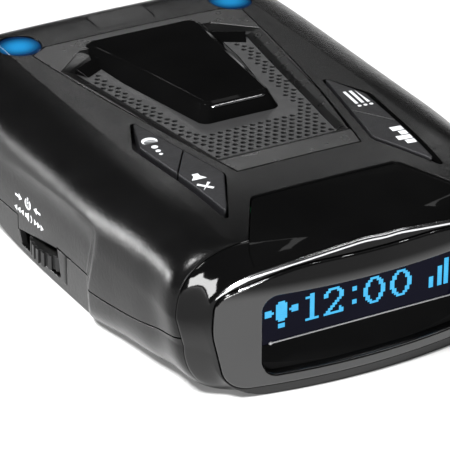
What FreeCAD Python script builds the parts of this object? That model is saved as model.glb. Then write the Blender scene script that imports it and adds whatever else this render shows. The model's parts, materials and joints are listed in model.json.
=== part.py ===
import FreeCAD, Part
import math
import os

# Dashboard radar detector, millimetres.
# Frame: origin at the centre of the base, +Z up, display end at -Y, volume wheel side at -X.

V = FreeCAD.Vector

# ---------------------------------------------------------------- driving dimensions
LENGTH = 109.0                  # display apex to windshield end
TOP_Z = 30.0                    # height of the top at the front seam of the V panel
TOP_FALL = 0.043                # fall of the top per millimetre towards the windshield end
WALL = 1.8                      # moulded wall thickness
REAR_Y = LENGTH / 2
FRONT_Y = -LENGTH / 2
PANEL_FRONT_Y = -26.5           # front seam of the V panel
CAP_SEAM_Y = -47.0              # seam between display cap and housings
SEAM = 0.3                      # visible gap of the parting line
FIT = 0.15                      # gap around inset panels
PARTING_Z = 8.0                 # parting line over the rear two thirds

# Outer form, one row per station along Y. A half section runs from the crown edge over a
# shoulder curve to the side, then round a lower corner to the flat base.
# y, side half width, crown edge z, crown edge x, shoulder run x, shoulder drop z,
# side start z, shoulder rise z, lower side half width, lower corner z, base half width
STATIONS = [
    (-58.0, 25.5, 26.9, 4.0, 12.0, 1.2, 14.5, 7.5, 24.5, 7.5, 17.0),
    (-52.0, 29.0, 27.7, 6.0, 13.0, 1.2, 15.0, 8.0, 28.0, 8.5, 19.5),
    (-49.7, 31.0, 28.0, 10.0, 13.0, 1.0, 15.3, 8.2, 29.8, 9.5, 21.5),
    (-48.2, 33.6, 28.3, 17.0, 10.5, 0.8, 16.2, 8.2, 32.2, 10.5, 23.5),
    (-46.5, 35.7, 28.6, 23.0, 8.0, 0.4, 17.0, 7.8, 34.3, 11.0, 25.0),
    (-41.0, 36.1, 29.2, 25.0, 7.0, 0.3, 17.5, 7.6, 35.0, 10.5, 26.0),
    (-35.5, 36.5, 29.6, 25.5, 7.0, 0.3, 17.5, 7.6, 35.8, 9.0, 27.5),
    (-26.5, 37.4, 29.8, 25.8, 7.0, 0.4, 17.5, 7.6, 37.0, 7.5, 30.0),
    (-17.5, 38.3, 29.5, 26.0, 7.0, 0.6, 17.5, 7.6, 38.2, 5.0, 33.0),
    (-6.0, 38.3, 29.1, 26.3, 7.0, 1.0, 17.5, 7.4, 38.3, 3.5, 34.8),
    (12.0, 38.3, 28.3, 26.5, 7.0, 1.5, 17.5, 6.9, 38.3, 3.0, 35.3),
    (32.0, 38.3, 27.4, 26.5, 7.0, 1.5, 17.0, 6.8, 38.3, 3.0, 35.3),
    (46.0, 38.0, 26.8, 26.3, 7.0, 1.5, 16.5, 6.8, 38.0, 3.0, 35.0),
    (51.0, 37.5, 26.4, 26.0, 7.0, 1.5, 16.0, 6.8, 37.5, 3.2, 34.3),
    (53.5, 36.6, 25.6, 25.4, 7.0, 1.5, 15.5, 6.6, 36.6, 3.6, 33.2),
    (REAR_Y, 35.3, 24.4, 24.6, 7.0, 1.5, 15.0, 6.2, 35.3, 4.4, 31.5),
]
CROWN = 0.0005                  # crown height per square of the crown edge x

# Display cap: concentric vertical cylinders behind the curved face.
FACE_RADIUS = 110.0
FACE_CENTRE_Y = FRONT_Y + FACE_RADIUS
RIM_RADIUS = FACE_RADIUS - 0.5
SEAT_RADIUS = FACE_RADIUS - 2.1
CAP_WALL_RADIUS = FACE_RADIUS - 4.2
FASCIA_ROUNDING = 0.45          # on the front edges of the fascia
FASCIA_BACK_RADIUS = FACE_RADIUS - 2.0
WINDOW = (21.1, 4.0, 19.7)      # display window half width, bottom, top
GLASS_Y = -48.5                 # front of the display glass
SHELF_BACK_Z = 7.6              # height of the sloping shelf where it meets the glass
STEP_ROUNDING = 1.5             # at the front step of the side scoops
PANEL_GAP = 0.25                # round the V panel, in the upper housing
KEY_GAP = 0.4                   # round the caps of the rubber keys, in the bay
DISH = [(0.0, 1.05), (1.3, 0.5), (2.9, 0.0)]   # slope round the grille, out and down
TONGUE_DEPTH = 0.4              # cap tongue below the housing top

# Outlines in plan on the right-hand side, (x, y); mirrored for the left.
PANEL_SIDE = [(12.4, PANEL_FRONT_Y), (18.1, 3.5), (22.7, 38.5)]
PANEL_REAR_Y = 41.0
RIM_SIDE = [(12.3, -18.4), (15.1, 4.5), (18.5, 28.8)]
RIM_BACK = (11.4, 32.8)
BUTTON_BAY = [(14.8, -26.6, 3.2), (21.9, -41.2, 0.5), (24.7, -9.0, 2.2), (19.9, 1.9, 0.6)]
KEY_PAIR = [(14.8, -26.6, 3.1), (21.2, -40.0, 0.5), (23.8, -9.6, 2.0), (19.9, 1.9, 0.5)]
KEY_SPLIT = [(16.9, -14.1), (23.6, -24.5)]
TONGUE_BACK_Y = -35.7
TONGUE_HALF = (14.6, 21.9)      # half width at the back edge and where the cap begins

GRILLE_DEPTH = 1.25             # grille below the panel face
GRILLE_THICKNESS = 0.6
HOLE_RADIUS = 0.52
HOLE_PITCH_X = 1.66
HOLE_PITCH_Y = 1.44

LENS_NOSE = (6.6, -2.5, 31.5)   # half width, y and z of the raised laser lens nose
LENS_END = (12.0, 38.6, 27.75)

# Printed circuit board and what hangs on it.
BOARD_Z = 13.0
BOARD_TOP = BOARD_Z + 1.6
CASE_SCREWS = [(31.5, 42.0), (29.5, -34.0)]
BOARD_SCREWS = [(28.0, 26.6), (20.0, -37.0)]

# Volume wheel, vertical axis at the left side.
WHEEL_RADIUS = 9.5
WHEEL_X = -38.2 + WHEEL_RADIUS
WHEEL_Y = 5.5
WHEEL_Z = 2.5
WHEEL_HEIGHT = 2.9
WHEEL_RIBS = 33
SHAFT_RADIUS = 1.5
RUNNING = 0.06                  # radial running clearance

SPEAKER_Y = 12.0
SPEAKER_RADIUS = 15.5

JACK = (17.0, 18.0)             # y and z of the power jack axis, right side
SLOT_HALF = 11.0                # bracket slot half width
SLOT_Z = (18.2, 21.2)


# ---------------------------------------------------------------- shape helpers
def box(x0, x1, y0, y1, z0, z1):
    return Part.makeBox(x1 - x0, y1 - y0, z1 - z0, V(x0, y0, z0))


def rod(x, y, z, radius, length, axis=(0, 0, 1)):
    return Part.makeCylinder(radius, length, V(x, y, z), V(*axis))


def ring(x, y, z, outer, inner, length):
    return rod(x, y, z, outer, length).cut(rod(x, y, z - 1, inner, length + 2))


def bezier(points):
    curve = Part.BezierCurve()
    curve.setPoles(points)
    return curve.toShape()


def line(start, end):
    return Part.LineSegment(start, end).toShape()


def fuse(shapes):
    return shapes[0].multiFuse(shapes[1:]).removeSplitter()


def mirror_x(shape):
    return shape.mirror(V(0, 0, 0), V(1, 0, 0))


def pair(shape):
    """A shape and its mirror image across the centre plane."""
    return [shape, mirror_x(shape)]


def outline(corners):
    """Closed wire in the XY plane; each corner is x, y and a rounding radius."""
    count = len(corners)
    points = [V(x, y, 0) for x, y, radius in corners]
    edges = []
    ends = []
    for i in range(count):
        here = points[i]
        before = (points[i - 1] - here).normalize()
        after = (points[(i + 1) % count] - here).normalize()
        angle = before.getAngle(after)
        reach = corners[i][2] / math.tan(angle / 2)
        middle = (before + after).normalize()
        inset = corners[i][2] / math.sin(angle / 2) - corners[i][2]
        ends.append((here + before * reach, here + middle * inset, here + after * reach))
    for i in range(count):
        start, mid, stop = ends[i]
        if corners[i][2] > 0:
            edges.append(Part.Arc(start, mid, stop).toShape())
        edges.append(line(stop, ends[(i + 1) % count][0]))
    return Part.Wire(edges)


def prism_z(corners, z0, z1):
    wire = outline(corners)
    wire.translate(V(0, 0, z0))
    return Part.Face(wire).extrude(V(0, 0, z1 - z0))


def prism_y(corners, y0, y1):
    """Prism along Y; each corner is x, z and a radius."""
    wire = outline(corners)
    wire.rotate(V(0, 0, 0), V(1, 0, 0), 90)
    wire.translate(V(0, y0, 0))
    return Part.Face(wire).extrude(V(0, y1 - y0, 0))


def prism_x(corners, x0, x1):
    """Prism along X; each corner is y, z and a radius."""
    wire = outline(corners)
    wire.rotate(V(0, 0, 0), V(1, 1, 1), 120)
    wire.translate(V(x0, 0, 0))
    return Part.Face(wire).extrude(V(x1 - x0, 0, 0))


def mirrored(corners):
    """Corners of the right half, completed with their mirror images."""
    return corners + [(-x, y, radius) for x, y, radius in reversed(corners)]


def face_cylinder(radius):
    return rod(0, FACE_CENTRE_Y, -5, radius, 45)


def top_z(y):
    return TOP_Z - TOP_FALL * (y - PANEL_FRONT_Y)


# ---------------------------------------------------------------- outer form
def section(row, inset):
    y, side, crown_z, crown_x, run, drop, side_z, rise, low_side, low_z, base_x = row
    crown_x = crown_x - 0.4 * inset
    base_x = base_x - 0.4 * inset
    crown_z = crown_z - inset
    side = side - inset
    low_side = low_side - inset
    bulge = 2 * CROWN * crown_x * crown_x

    def at(x, z):
        return V(x, y, z)

    def half(sign):
        shoulder = [at(sign * crown_x, crown_z), at(sign * (crown_x + run), crown_z - drop),
                    at(sign * side, side_z + rise), at(sign * side, side_z)]
        corner = [at(sign * low_side, low_z), at(sign * low_side, 0.45 * low_z + 0.55 * inset),
                  at(sign * (0.55 * low_side + 0.45 * base_x), inset), at(sign * base_x, inset)]
        return [bezier(shoulder), line(shoulder[-1], corner[0]), bezier(corner)]

    crown = bezier([at(-crown_x, crown_z), at(0, crown_z + bulge), at(crown_x, crown_z)])
    base = line(at(base_x, inset), at(-base_x, inset))
    return Part.Wire([crown] + half(1) + [base] + half(-1)[::-1])


def form(inset):
    return Part.makeLoft([section(row, inset) for row in STATIONS], True, False)


def between(outer, inner, prism):
    """Part of the wall between two insets that lies inside a prism."""
    return prism.common(form(outer)).cut(form(inner))


def side_scoop(inset):
    """Tool for the hollowed side panel, left side, soft at the top, stepped at the front."""
    depth_at = [(-25.0, 36.0), (-12.0, 36.0), (-0.5, 36.7), (13.5, 37.7), (27.0, 38.9)]
    wires = []
    for y, x in depth_at:
        x = x - inset
        wires.append(Part.Wire([
            line(V(-x, y, -2), V(-x, y, 15)),
            bezier([V(-x, y, 15), V(-x, y, 20), V(-x - 1.8, y, 22.5), V(-x - 6, y, 27)]),
            line(V(-x - 6, y, 27), V(-x - 6, y, -2)),
            line(V(-x - 6, y, -2), V(-x, y, -2))]))
    tool = Part.makeLoft(wires, True, False)
    crest = [V(-36.0 + inset, -17.0, 22.0), V(-36.0 + inset, -12.8, 8.8), V(-36.0 + inset, -13.6, -3.0)]
    out = V(-4.0, -9.2, 0)
    keep = Part.makeLoft([step_wire(crest, V(8, 18.4, 0)), step_wire(crest, out * 2)], True, True)
    return tool.cut(keep)


def step_wire(crest, offset):
    """Side view outline of the stock ahead of the scoop's step, moved by an offset."""
    corners = [crest[0] + V(0, -2.6, 8), crest[0], crest[1], crest[2],
               V(crest[2].x, -60, -3), V(crest[0].x, -60, 30)]
    return Part.makePolygon([c + offset for c in corners + corners[:1]])


def hull(inset):
    """The form with both side panels hollowed, the outside softened round the steps."""
    tool = side_scoop(inset)
    solid = form(inset)
    for scoop in (tool, mirror_x(tool)):
        solid = solid.cut(scoop)
        if inset == 0:
            side = scoop.BoundBox.Center.x
            steps = [e for e in solid.Edges if on_step(e.BoundBox) and e.BoundBox.Center.x * side > 0]
            solid = solid.makeFillet(STEP_ROUNDING, steps)
    return solid


def on_step(bound):
    """True for the edges of the scoops' front steps."""
    outside = bound.XMax < -30 or bound.XMin > 30
    upright = bound.ZMax - bound.ZMin > 1
    return outside and upright and bound.YMin > -20.7 and bound.YMax < -12.5


def below_parting(offset):
    """Everything under the parting line, which rises towards the display cap."""
    curve = Part.BSplineCurve()
    curve.interpolate([V(0, -60, 13.4 + offset), V(0, -45, 12.0 + offset), V(0, -35.8, 10.0 + offset),
                       V(0, -26.5, 8.6 + offset), V(0, -17, PARTING_Z + offset)])
    high = PARTING_Z + offset
    edges = [curve.toShape(), line(V(0, -17, high), V(0, 60, high)), line(V(0, 60, high), V(0, 60, -5)),
             line(V(0, 60, -5), V(0, -60, -5)), line(V(0, -60, -5), V(0, -60, 13.4 + offset))]
    block = Part.Face(Part.Wire(edges)).extrude(V(100, 0, 0))
    block.translate(V(-50, 0, 0))
    return block


# ---------------------------------------------------------------- outlines on the top
def curved_edges(side, front_y, rear, grow):
    """Closed outline with a straight front, one arc down each side and straight rear edges."""
    a, b, c = [V(x + grow, y, 0) for x, y in side]
    a.y = front_y - grow
    rear_points = [V(x + (grow if x > 0 else 0), y + grow, 0) for x, y in rear]
    edges = [Part.Arc(a, b, c).toShape()]
    run = [c] + rear_points + [V(-p.x, p.y, 0) for p in reversed(rear_points)] + [V(-c.x, c.y, 0)]
    edges += [line(p, q) for p, q in zip(run, run[1:])]
    edges.append(Part.Arc(V(-c.x, c.y, 0), V(-b.x, b.y, 0), V(-a.x, a.y, 0)).toShape())
    edges.append(line(V(-a.x, a.y, 0), a))
    return Part.Wire(edges)


def curved_outline(side, front_y, rear, grow, z0, z1, round_front):
    """Prism on the curved outline, its front corners rounded if asked."""
    solid = Part.Face(curved_edges(side, front_y, rear, grow)).extrude(V(0, 0, z1 - z0))
    solid.translate(V(0, 0, z0))
    if round_front > 0:
        front = front_y - grow
        corners = [e for e in solid.Edges if e.Length > 5 and abs(e.Vertexes[0].Y - front) < 0.01
                   and abs(e.Vertexes[1].Y - front) < 0.01 and abs(e.Vertexes[0].X - e.Vertexes[1].X) < 0.01]
        solid = solid.makeFillet(round_front, corners)
    return solid


def panel_prism(grow):
    return curved_outline(PANEL_SIDE, PANEL_FRONT_Y, [(19.0, PANEL_REAR_Y)], grow, 18, 36, 0)


def rim_prism(grow):
    return curved_outline(RIM_SIDE, RIM_SIDE[0][1], [RIM_BACK], grow, 18, 36, 1.8 + grow)


def bay_prism(grow, side):
    corners = grown(BUTTON_BAY, grow)
    solid = prism_z(corners, 18, 36)
    return solid if side > 0 else mirror_x(solid)


def grown(corners, grow):
    """Offset a polygon's corners outwards; negative shrinks."""
    count = len(corners)
    centre = V(sum(c[0] for c in corners) / count, sum(c[1] for c in corners) / count, 0)
    lines = []
    for i in range(count):
        p = V(corners[i][0], corners[i][1], 0)
        q = V(corners[(i + 1) % count][0], corners[(i + 1) % count][1], 0)
        along = (q - p).normalize()
        normal = V(along.y, -along.x, 0)
        if normal.dot(p - centre) < 0:
            normal = normal * -1
        lines.append((p + normal * grow, along))
    result = []
    for i in range(count):
        (p, u), (q, w) = lines[i - 1], lines[i]
        cross = u.x * w.y - u.y * w.x
        step = ((q.x - p.x) * w.y - (q.y - p.y) * w.x) / cross
        corner = p + u * step
        result.append((corner.x, corner.y, max(corners[i][2] + grow * 0.5, 0.3)))
    return result


def key_side(front):
    """Everything on one side of the split between the two keys of a bay."""
    start, stop = [V(x, y, 0) for x, y in KEY_SPLIT]
    along = (stop - start).normalize()
    away = V(-along.y, along.x, 0)
    if (away.y < 0) != front:
        away = away * -1
    start = start - along * 20 + away * 0.12
    stop = stop + along * 20 + away * 0.12
    points = [start, stop, stop + away * 50, start + away * 50]
    return prism_z([(p.x, p.y, 0) for p in points], 18, 36)


def tongue_prism(grow, y_end):
    back, wide = TONGUE_HALF
    side = (wide - back) / (TONGUE_BACK_Y - (-48.5))
    wide_end = back + side * (TONGUE_BACK_Y - max(y_end, -48.5))
    corners = [(back + grow, TONGUE_BACK_Y + grow, 1.6), (wide_end + grow, max(y_end, -48.5), 0)]
    if y_end < -48.5:
        corners.append((wide + grow, y_end, 0))
    return prism_z(mirrored(corners), 20, 36)


def periscope_prism(grow, z0, z1):
    ellipse = Part.Ellipse(V(23.1, 44.4, 0), 5.1 + grow, 4.1 + grow)
    edge = ellipse.toShape()
    edge.rotate(V(23.1, 44.4, 0), V(0, 0, 1), 90)
    edge.translate(V(0, 0, z0))
    return Part.Face(Part.Wire([edge])).extrude(V(0, 0, z1 - z0))


# ---------------------------------------------------------------- display cap and display
def front_bezel():
    solid = form(0).common(face_cylinder(RIM_RADIUS))
    solid = solid.common(box(-60, 60, -60, CAP_SEAM_Y - FIT, -1, 40))
    cavity = form(2.0).common(face_cylinder(CAP_WALL_RADIUS))
    solid = solid.cut(cavity)
    sunk = tongue_prism(0, -58).cut(form(TONGUE_DEPTH))
    solid = solid.cut(sunk)
    seat = fascia_prism(FIT).cut(face_cylinder(SEAT_RADIUS))
    throat = box(-24.2, 24.2, -60, -43, 2.4, 22.2)
    lip = form(2.0).cut(form(3.1)).common(box(-60, 60, CAP_SEAM_Y - 0.5, CAP_SEAM_Y + 3.0, -1, 40))
    tongue = between(TONGUE_DEPTH, 1.9, tongue_prism(0, CAP_SEAM_Y - 1.0))
    return fuse([solid.cut(seat).cut(throat), lip.cut(throat), tongue])


def fascia_prism(grow):
    """Outline of the glossy display fascia, extruded along Y."""
    corners = [(15.0, 25.0, 34.0), (29.2, 20.6, 4.0), (29.7, 13.5, 14.0), (27.3, 1.9, 5.0)]
    corners = [(x + grow * 0.9, z + (grow if z > 13 else -grow), radius) for x, z, radius in corners]
    return prism_y(mirrored(corners), -60, -44)


def window_prism(grow):
    half, low, high = WINDOW
    half, low, high = half + grow, low - grow, high + grow
    return prism_y([(half, low, 3.0), (half, high, 3.0), (-half, high, 3.0), (-half, low, 3.0)], -60, -44)


def display_fascia():
    solid = fascia_prism(0).common(face_cylinder(FACE_RADIUS)).cut(face_cylinder(FASCIA_BACK_RADIUS))
    solid = solid.cut(window_prism(0))
    return solid.makeFillet(FASCIA_ROUNDING, [e for e in solid.Edges if on_front(e)])


def on_front(edge):
    """True for the edges that lie on the fascia's curved front."""
    middle = edge.valueAt((edge.FirstParameter + edge.LastParameter) / 2)
    return abs(math.hypot(middle.x, middle.y - FACE_CENTRE_Y) - FACE_RADIUS) < 0.02


def display_hood():
    """Dark tunnel from the fascia window to the glass, with a sloping shelf below."""
    half, low, high = WINDOW
    outer = box(-half - 2.2, half + 2.2, -56, -45.4, 2.7, high + 1.8)
    solid = outer.common(face_cylinder(FASCIA_BACK_RADIUS - FIT / 3))
    shelf_front = V(0, -53.5, low - 1.2)
    throat = [(-60, low - 1.2, 0), (shelf_front.y, shelf_front.z, 0), (GLASS_Y, SHELF_BACK_Z, 0),
              (GLASS_Y, high + 0.2, 0), (-60, high + 0.2, 0)]
    solid = solid.cut(prism_x(throat, -half - 0.3, half + 0.3))
    pocket = box(-half - 1.0, half + 1.0, GLASS_Y, -45, SHELF_BACK_Z - 1.0, high + 0.9)
    return solid.cut(pocket)


def display_glass():
    half, low, high = WINDOW
    return box(-half - 0.9, half + 0.9, GLASS_Y + 0.05, GLASS_Y + 1.15, SHELF_BACK_Z - 0.9, high + 0.8)


def display_module():
    """Emissive panel with a driver strip along its lower edge."""
    half, low, high = WINDOW
    panel = box(-half - 0.9, half + 0.9, GLASS_Y + 1.15, GLASS_Y + 2.35, SHELF_BACK_Z - 0.9, high + 0.8)
    driver = box(-9.0, 9.0, GLASS_Y + 2.35, GLASS_Y + 2.95, SHELF_BACK_Z - 0.2, SHELF_BACK_Z + 1.8)
    return fuse([panel, driver])


def display_flex():
    """Folded ribbon from the driver strip to the underside of the board."""
    thickness = 0.2
    back = GLASS_Y + 2.96
    under = BOARD_Z - 0.05
    start = SHELF_BACK_Z + 0.2
    over = [(back, start, 0), (back, start + 1.6, 0), (-42.5, 11.4, 0), (-39.0, under, 0),
            (-33.0, under, 0)]
    below = [(y, z - thickness, 0) for y, z, radius in over[2:]]
    inner = [(back + thickness, start + 1.6 - thickness, 0), (back + thickness, start, 0)]
    return prism_x(over + below[::-1] + inner, -7.0, 7.0)


# ---------------------------------------------------------------- housings
def upper_housing():
    shell = hull(0).cut(hull(WALL)).cut(box(-60, 60, -70, CAP_SEAM_Y, -1, 40))
    rear_wall = hull(1.0).common(box(-60, 60, REAR_Y - 2.1, REAR_Y - 0.6, -1, 40))
    ledge = between(WALL, 2.9, panel_prism(1.0)).cut(panel_prism(-1.6))
    posts = [rod(sign * x, y, 12.4, 2.9, 20) for x, y in CASE_SCREWS for sign in (-1, 1)]
    inside = [post.common(hull(1.0)) for post in posts]
    solid = fuse([shell, rear_wall, ledge] + inside)
    solid = solid.cut(below_parting(SEAM))
    rebate = hull(0.95).cut(hull(WALL + 0.3)).common(below_parting(1.6))
    solid = solid.cut(rebate)
    tab = hull(0).cut(hull(0.95)).common(slot_tab(0.05))
    solid = fuse([solid, tab])
    cuts = [panel_prism(PANEL_GAP), tongue_prism(FIT, CAP_SEAM_Y - 1.0)]
    cuts += pair(bay_prism(0, 1)) + pair(periscope_prism(0.15, 20, 36))
    cuts += [rod(sign * x, y, 10, 1.25, 11) for x, y in CASE_SCREWS for sign in (-1, 1)]
    cuts += [jack_hole(), usb_slot(), bracket_mouth(), release_hole(), laser_window(0.15)]
    return cut_all(solid, cuts)


def cut_all(solid, tools):
    for tool in tools:
        solid = solid.cut(tool)
    return solid


def lower_housing():
    shell = hull(0).cut(hull(WALL)).cut(box(-60, 60, -70, CAP_SEAM_Y, -1, 40))
    rear_wall = hull(1.0).common(box(-60, 60, REAR_Y - 2.1, REAR_Y - 0.6, -1, 40))
    shell = fuse([shell, rear_wall]).common(below_parting(0))
    lip = hull(1.05).cut(hull(WALL)).common(below_parting(1.4)).cut(below_parting(-0.5))
    lip = lip.cut(box(-60, 60, -70, CAP_SEAM_Y + 3.4, -1, 40)).cut(box(-60, -30, -5.5, 16.5, -1, 20))
    inside = hull(1.0)
    bosses = [rod(sign * x, y, 1.0, 3.3, 11.35).common(inside) for x, y in CASE_SCREWS for sign in (-1, 1)]
    bosses += [rod(sign * x, y, 1.0, 2.4, BOARD_Z - 1.0) for x, y in BOARD_SCREWS for sign in (-1, 1)]
    solid = fuse([shell, lip] + bosses)
    cuts = [slot_tab(0.3), wheel_slot(), label_recess()]
    for x, y in CASE_SCREWS:
        for sign in (-1, 1):
            cuts += [rod(sign * x, y, -1, 1.5, 20), rod(sign * x, y, -1, 2.7, 4.0)]
    cuts += [rod(sign * x, y, 5.0, 0.9, 20) for x, y in BOARD_SCREWS for sign in (-1, 1)]
    return cut_all(solid, cuts)


def slot_tab(grow):
    """Tab of the upper housing that closes the wheel slot from above, with its slanted edge."""
    corners = [(-1.1 - grow, PARTING_Z, 0), (13.6 + grow, 5.3 - grow, 0),
               (13.6 + grow, PARTING_Z + SEAM + 0.2, 0), (-1.1 - grow, PARTING_Z + SEAM + 0.2, 0)]
    return prism_x(corners, -45, -30)


def wheel_slot():
    """Opening for the wheel, thinned from inside round its edge."""
    opening = [(-2.6, 2.2, 0.6), (12.6, 2.2, 0.6), (13.6, 5.3, 0.3), (-1.1, 8.6, 0.3)]
    through = prism_x(opening, -45, -30)
    thin = box(-36.4, -30, -5.0, 16.0, 2.0, 12.0)
    return fuse([through, thin])


def label_recess():
    return box(-22, 22, -16, 14, -1, 0.3)


def rating_label():
    """Blank foil label, flush with the underside."""
    corners = [(21.7, -15.7, 1.0), (21.7, 13.7, 1.0), (-21.7, 13.7, 1.0), (-21.7, -15.7, 1.0)]
    return prism_z(corners, 0, 0.3)


# ---------------------------------------------------------------- top panel, grille and lenses
def lens_body(grow):
    """Raised glossy wedge with sloping skirt, and the lip on the back wall of the grille."""
    nose_x, nose_y, nose_z = LENS_NOSE
    end_x, end_y, end_z = LENS_END
    slope = (end_z - nose_z) / (end_y - nose_y)
    top = tilted_wire(mirrored([(nose_x, nose_y, 1.3), (9.3, 20.0, 30.0), (end_x, end_y, 2.0)]),
                      nose_z, nose_y, slope)
    low = tilted_wire(mirrored([(8.2 + grow, -4.8 - grow, 2.2), (13.0 + grow, 20.0, 30.0),
                                (14.6 + grow, end_y + grow, 2.0)]), top_z(-4.8) - 1.6, -4.8, -TOP_FALL)
    wedge = Part.makeLoft([low, top], True, True)
    foot = Part.Face(low).extrude(V(0, 0, -1.6))
    return fuse([wedge, foot])


def panel_dish():
    """Cut that lets the panel fall gently to the rim of the grille."""
    wires = []
    for out, down in DISH + [(DISH[-1][0], -1.0)]:
        edge = curved_edges(RIM_SIDE, RIM_SIDE[0][1], [RIM_BACK], out)
        wires.append(laid(edge, TOP_Z - down, PANEL_FRONT_Y, -TOP_FALL))
    return Part.makeLoft(wires, True, True)


def tilted_wire(corners, z, y, slope):
    """Rounded outline laid on a plane that passes y, z and slopes along Y."""
    return laid(outline(corners), z, y, slope)


def laid(wire, z, y, slope):
    matrix = FreeCAD.Matrix()
    matrix.A32 = slope
    matrix.A34 = z - slope * y
    return Part.Wire(wire.transformGeometry(matrix).Edges)


def back_lip():
    """Glossy sloping lip along the diagonal back wall, right side."""
    high = tilted_wire([(11.2, 32.3, 0), (18.0, 28.3, 0), (18.4, 28.8, 0), (11.4, 32.8, 0)],
                       top_z(30.0) - 0.15, 30.0, -TOP_FALL)
    low = tilted_wire([(10.4, 29.4, 0), (16.9, 25.7, 0), (18.4, 28.8, 0), (11.4, 32.8, 0)],
                      top_z(30.0) - 1.2, 30.0, -TOP_FALL)
    return Part.makeLoft([low, high], True, True)


def rear_laser_lens():
    body = lens_body(0)
    edge = [e for e in body.Edges if min(v.Z for v in e.Vertexes) > 26.9
            and abs(max(v.Z for v in e.Vertexes) - lens_top(e)) < 0.05 and on_lens_top(e)]
    body = body.makeChamfer(0.45, edge)
    return fuse([body] + pair(back_lip()))


def lens_top(edge):
    nose_x, nose_y, nose_z = LENS_NOSE
    slope = (LENS_END[2] - nose_z) / (LENS_END[1] - nose_y)
    return max(nose_z + slope * (v.Y - nose_y) for v in edge.Vertexes)


def on_lens_top(edge):
    nose_x, nose_y, nose_z = LENS_NOSE
    slope = (LENS_END[2] - nose_z) / (LENS_END[1] - nose_y)
    return all(abs(v.Z - nose_z - slope * (v.Y - nose_y)) < 0.02 for v in edge.Vertexes)


def top_panel():
    solid = between(0, WALL, panel_prism(0)).cut(panel_dish())
    rim = rim_prism(0)
    solid = solid.cut(rim.cut(form(GRILLE_DEPTH)))
    solid = solid.cut(rim_prism(1.0).common(form(GRILLE_DEPTH - 0.02)))
    solid = solid.cut(lens_body(0.1))
    return cut_all(solid, pair(periscope_prism(0.25, 18, 36)))


def speaker_grille():
    sheet = between(GRILLE_DEPTH, GRILLE_DEPTH + GRILLE_THICKNESS, rim_prism(0.8))
    sheet = cut_all(sheet, [lens_body(0.1)] + pair(back_lip()))
    holes = []
    rows = int(54 / HOLE_PITCH_Y)
    for j in range(rows):
        y = RIM_SIDE[0][1] + 1.0 + j * HOLE_PITCH_Y
        shift = 0.5 * (j % 2)
        for i in range(-11, 12):
            x = (i + shift) * HOLE_PITCH_X
            if hole_fits(x, y):
                holes.append(rod(x, y, 24, HOLE_RADIUS, 6))
    return sheet.cut(Part.makeCompound(holes))


def hole_fits(x, y):
    """True where a hole is clear of the recess rim, the lens skirt and the back lip."""
    limit = 12.3 + (y + 18.4) * 0.127 + 0.4 * math.sin(math.pi * (y + 18.4) / 47.0)
    skirt = 9.7 + (y + 7.2) * 0.132
    clear_rim = abs(x) < limit - 0.75
    clear_lens = y < -8.1 or abs(x) > skirt + 0.75
    clear_back = y + 0.57 * abs(x) < 34.6
    return clear_rim and clear_lens and clear_back


def periscope_lens(side):
    """Blue rear-view light lens with a low dome, right side; mirrored for the left."""
    solid = periscope_prism(0, 22.0, 30.0).common(form(0.25))
    solid = solid.fuse(periscope_prism(1.0, 22.0, 23.2))
    return solid if side > 0 else mirror_x(solid)


# ---------------------------------------------------------------- keys
def key(front, side):
    """One key: cap standing a little proud, retaining flange and plunger."""
    half = key_side(front)
    cap = between(-0.35, 2.6, prism_z(grown(KEY_PAIR, -KEY_GAP), 18, 36).common(half))
    flange = between(2.15, 2.75, prism_z(grown(KEY_PAIR, 0.7), 18, 36).common(half))
    x, y = key_centre(front)
    plunger = rod(x, y, BOARD_TOP + 2.2, 1.6, 11).common(form(2.4))
    solid = fuse([cap, flange, plunger])
    return solid if side > 0 else mirror_x(solid)


def key_centre(front):
    return (20.0, -28.5) if front else (21.2, -10.5)


def tact_switches():
    shapes = []
    for front in (True, False):
        x, y = key_centre(front)
        base = box(x - 2.2, x + 2.2, y - 2.2, y + 2.2, BOARD_TOP, BOARD_TOP + 1.1)
        switch = base.fuse(rod(x, y, BOARD_TOP + 1.1, 1.1, 0.5))
        shapes += pair(switch)
    return Part.makeCompound(shapes)


# ---------------------------------------------------------------- volume wheel
def volume_wheel():
    disc = rod(WHEEL_X, WHEEL_Y, WHEEL_Z, WHEEL_RADIUS - 0.5, WHEEL_HEIGHT)
    ribs = []
    for i in range(WHEEL_RIBS):
        angle = 360.0 * i / WHEEL_RIBS
        rib = box(WHEEL_RADIUS - 1.2, WHEEL_RADIUS, -0.42, 0.42, WHEEL_Z, WHEEL_Z + WHEEL_HEIGHT)
        rib.rotate(V(0, 0, 0), V(0, 0, 1), angle)
        rib.translate(V(WHEEL_X, WHEEL_Y, 0))
        ribs.append(rib)
    solid = fuse([disc] + ribs)
    dish = ring(WHEEL_X, WHEEL_Y, WHEEL_Z + WHEEL_HEIGHT - 1.0, WHEEL_RADIUS - 2.2, 3.0, 2)
    return solid.cut(dish).cut(rod(WHEEL_X, WHEEL_Y, 0, SHAFT_RADIUS, 10))


def wheel_shaft():
    return rod(WHEEL_X, WHEEL_Y, WHEEL_Z, SHAFT_RADIUS, 8.0)


def wheel_carrier():
    """Plate that slides inwards when the wheel is pressed."""
    plate = box(-35.2, -18.2, WHEEL_Y - 6.6, WHEEL_Y + 6.6, 6.6, 8.2)
    return plate.cut(rod(WHEEL_X, WHEEL_Y, 0, SHAFT_RADIUS + RUNNING, 20))


def volume_encoder():
    body = box(WHEEL_X - 5.5, WHEEL_X + 5.5, WHEEL_Y - 5.5, WHEEL_Y + 5.5, 8.2, 11.2)
    return body.cut(rod(WHEEL_X, WHEEL_Y, 0, SHAFT_RADIUS + RUNNING, 20))


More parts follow.
